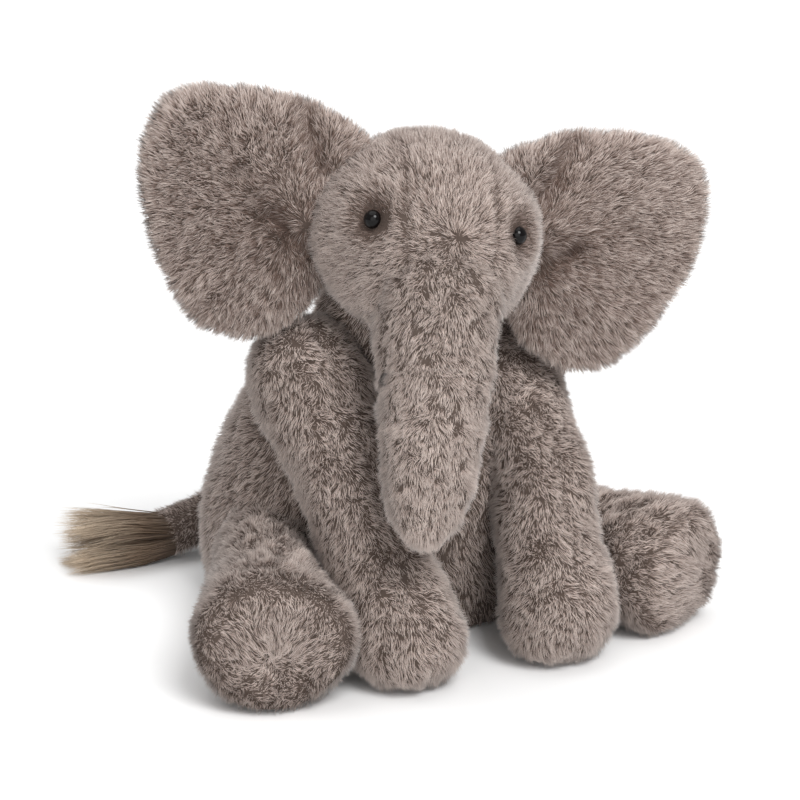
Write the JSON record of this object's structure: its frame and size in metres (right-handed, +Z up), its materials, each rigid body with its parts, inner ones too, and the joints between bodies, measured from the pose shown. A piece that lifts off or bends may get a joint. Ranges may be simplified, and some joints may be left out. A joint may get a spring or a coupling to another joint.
{
  "type": "stuffed elephant",
  "caption": "Seated plush elephant with large sewn-on ears, a hanging trunk, four stuffed legs, domed eyes and a tail that ends in a tuft of long hair.",
  "frame": {"origin": "middle of the flat seat, on the floor, in the torso's own plane of symmetry", "axes": "+Z up, -Y the way the body faces, +X towards the elephant's own left side"},
  "size_m": [0.318, 0.3071, 0.2965],
  "materials": {
    "plush": "dense short pile",
    "tuft_hair": "long silky hair",
    "eye_plastic": "polished",
    "washer_plastic": "moulded",
    "stuffing": "loose fibre",
    "pellet_bag": "plain weave"
  },
  "bodies": {
    "torso": {"torso_cover": "plush", "torso_filling": "stuffing", "seat_bean_bag": "pellet_bag"},
    "neck": {"neck_filling": "stuffing"},
    "head": {"head_centre_panel": "plush", "head_cheek_right": "plush", "head_cheek_left": "plush", "head_filling": "stuffing", "eye_right": "eye_plastic", "eye_left": "eye_plastic", "eye_washer_right": "washer_plastic", "eye_washer_left": "washer_plastic"},
    "trunk_upper": {"trunk_upper_front_panel": "plush", "trunk_upper_back_panel": "plush", "trunk_upper_filling": "stuffing"},
    "trunk_lower": {"trunk_lower_front_panel": "plush", "trunk_lower_back_panel": "plush", "trunk_lower_filling": "stuffing"},
    "ear_right": {"ear_right_front_panel": "plush", "ear_right_wadding": "stuffing", "ear_right_back_panel": "plush"},
    "ear_left": {"ear_left_front_panel": "plush", "ear_left_wadding": "stuffing", "ear_left_back_panel": "plush"},
    "front_leg_right": {"front_leg_right_cover": "plush", "front_leg_right_filling": "stuffing", "front_paw_right_bean_bag": "pellet_bag"},
    "front_leg_left": {"front_leg_left_cover": "plush", "front_leg_left_filling": "stuffing", "front_paw_left_bean_bag": "pellet_bag"},
    "rear_leg_right": {"rear_leg_right_cover": "plush", "rear_leg_right_filling": "stuffing", "rear_sole_right": "plush", "rear_foot_right_bean_bag": "pellet_bag"},
    "rear_leg_left": {"rear_leg_left_cover": "plush", "rear_leg_left_filling": "stuffing", "rear_sole_left": "plush", "rear_foot_left_bean_bag": "pellet_bag"},
    "tail": {"tail_cover": "plush", "tail_filling": "stuffing", "tail_tuft": "tuft_hair"}
  },
  "joints": [
    {"name": "head_turn", "type": "hinge", "parent": "torso", "child": "neck", "pos_m": [-0.002, -0.05, 0.168], "axis": [0, 0, 1], "range_deg": [-12, 5], "stiffness_Nm_per_rad": 0.9},
    {"name": "head_nod", "type": "hinge", "parent": "neck", "child": "head", "pos_m": [-0.002, -0.05, 0.168], "axis": [0.9637, -0.2225, -0.1478], "range_deg": [-10, 4], "stiffness_Nm_per_rad": 0.9},
    {"name": "trunk_swing", "type": "hinge", "parent": "head", "child": "trunk_upper", "pos_m": [-0.0198, -0.12402, 0.19526], "axis": [0.225, 0.9744, 0], "range_deg": [-12, 12], "stiffness_Nm_per_rad": 0.25},
    {"name": "trunk_curl", "type": "hinge", "parent": "trunk_upper", "child": "trunk_lower", "pos_m": [-0.03763, -0.1548, 0.13211], "axis": [-0.9637, 0.2225, 0.1478], "range_deg": [-8, 38], "stiffness_Nm_per_rad": 0.12},
    {"name": "ear_flap_right", "type": "hinge", "parent": "head", "child": "ear_right", "pos_m": [-0.06382, -0.06665, 0.22787], "axis": [0.144, -0.0332, 0.989], "range_deg": [-14, 18], "stiffness_Nm_per_rad": 0.12},
    {"name": "ear_flap_left", "type": "hinge", "parent": "head", "child": "ear_left", "pos_m": [0.05182, -0.09335, 0.21013], "axis": [-0.144, 0.0332, -0.989], "range_deg": [-9, 18], "stiffness_Nm_per_rad": 0.12},
    {"name": "front_leg_lift_right", "type": "hinge", "parent": "torso", "child": "front_leg_right", "pos_m": [-0.061, -0.055, 0.147], "axis": [-0.9063, 0.4226, 0], "range_deg": [0, 10], "stiffness_Nm_per_rad": 0.4},
    {"name": "front_leg_lift_left", "type": "hinge", "parent": "torso", "child": "front_leg_left", "pos_m": [0.061, -0.055, 0.147], "axis": [-0.9063, -0.4226, 0], "range_deg": [0, 12], "stiffness_Nm_per_rad": 0.4},
    {"name": "rear_leg_lift_right", "type": "hinge", "parent": "torso", "child": "rear_leg_right", "pos_m": [-0.072, -0.028, 0.041], "axis": [-0.7279, 0.3764, -0.5731], "range_deg": [0, 20], "stiffness_Nm_per_rad": 0.4},
    {"name": "rear_leg_lift_left", "type": "hinge", "parent": "torso", "child": "rear_leg_left", "pos_m": [0.072, -0.028, 0.041], "axis": [-0.7279, -0.3764, 0.5731], "range_deg": [0, 20], "stiffness_Nm_per_rad": 0.4},
    {"name": "tail_swing", "type": "hinge", "parent": "torso", "child": "tail", "pos_m": [-0.016, 0.109, 0.034], "axis": [0, 0, -1], "range_deg": [0, 120], "stiffness_Nm_per_rad": 0.06}
  ]
}
